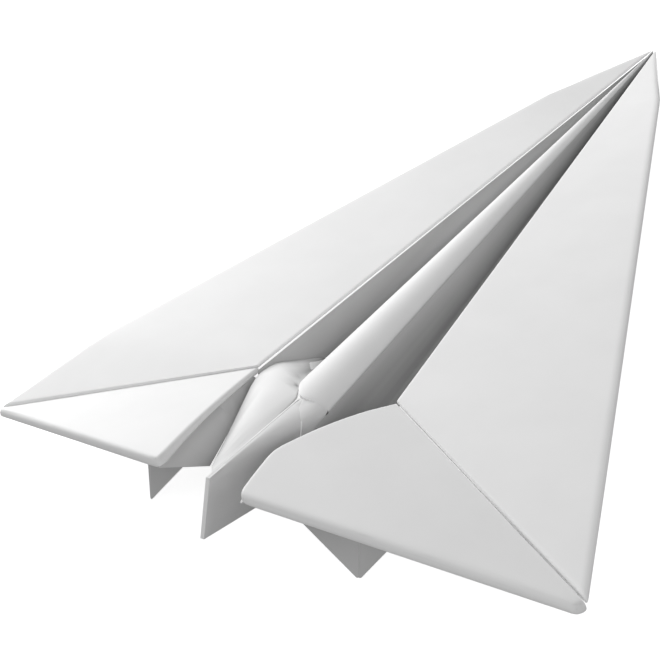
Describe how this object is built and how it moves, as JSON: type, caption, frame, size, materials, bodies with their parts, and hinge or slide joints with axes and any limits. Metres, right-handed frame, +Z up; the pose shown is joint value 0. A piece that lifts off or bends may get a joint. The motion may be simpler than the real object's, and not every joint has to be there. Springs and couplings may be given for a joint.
{
  "type": "paper airplane",
  "caption": "Folded white paper dart with a raised spine between two valleys, turned-up elevons, a slim keel and a vee-folded fin under each wing.",
  "frame": {"origin": "middle of the keel's bottom edge, on the table", "axes": "+Y forward out of the nose, +X to the plane's right wing, +Z up with the plane standing on its keel and fins"},
  "size_m": [0.1766, 0.2964, 0.0293],
  "materials": {
    "paper_outer": "matte",
    "paper_face": "matte",
    "paper_fold": "matte",
    "paper_fin": "matte"
  },
  "bodies": {
    "fuselage": {"wall_left": "paper_fold", "wall_right": "paper_fold", "spine_cover": "paper_outer", "spine_lap": "paper_fold", "gusset": "paper_face", "tail_fairing": "paper_face", "tail_side_left": "paper_face", "tail_side_right": "paper_face", "keel_left": "paper_face", "keel_right": "paper_face"},
    "wing_left": {"wing_upper_left": "paper_outer", "wing_lower_left": "paper_face"},
    "elevon_left": {"elevon_left": "paper_face", "elevon_web_left": "paper_fold"},
    "fin_left": {"fin_inner_left": "paper_fin", "fin_outer_left": "paper_fin"},
    "wing_right": {"wing_upper_right": "paper_outer", "wing_lower_right": "paper_face"},
    "elevon_right": {"elevon_right": "paper_face", "elevon_web_right": "paper_fold"},
    "fin_right": {"fin_inner_right": "paper_fin", "fin_outer_right": "paper_fin"}
  },
  "joints": [
    {"name": "wing_left_fold", "type": "hinge", "parent": "fuselage", "child": "wing_left", "pos_m": [-0.0225, -0.10055, 0.01583], "axis": [0.0895, 0.9944, -0.0565], "range_deg": [-10, 14], "stiffness_Nm_per_rad": 0.6},
    {"name": "elevon_left_fold", "type": "hinge", "parent": "wing_left", "child": "elevon_left", "pos_m": [-0.02232, -0.10082, 0.01651], "axis": [-0.8519, -0.5237, -0.0031], "range_deg": [-12, 14], "stiffness_Nm_per_rad": 0.4},
    {"name": "fin_left_fold", "type": "hinge", "parent": "elevon_left", "child": "fin_left", "pos_m": [-0.031, -0.13006, 0.01966], "axis": [0.8864, -0.4066, 0.2212], "range_deg": [-3, 22], "stiffness_Nm_per_rad": 0.08},
    {"name": "wing_right_fold", "type": "hinge", "parent": "fuselage", "child": "wing_right", "pos_m": [0.0225, -0.10055, 0.01583], "axis": [0.0895, -0.9944, 0.0565], "range_deg": [-10, 14], "stiffness_Nm_per_rad": 0.6},
    {"name": "elevon_right_fold", "type": "hinge", "parent": "wing_right", "child": "elevon_right", "pos_m": [0.02232, -0.10082, 0.01651], "axis": [-0.8646, 0.5024, -0.0008], "range_deg": [-12, 14], "stiffness_Nm_per_rad": 0.4},
    {"name": "fin_right_fold", "type": "hinge", "parent": "elevon_right", "child": "fin_right", "pos_m": [0.031, -0.13009, 0.0189], "axis": [0.8935, 0.4118, -0.1792], "range_deg": [-3, 22], "stiffness_Nm_per_rad": 0.08}
  ]
}
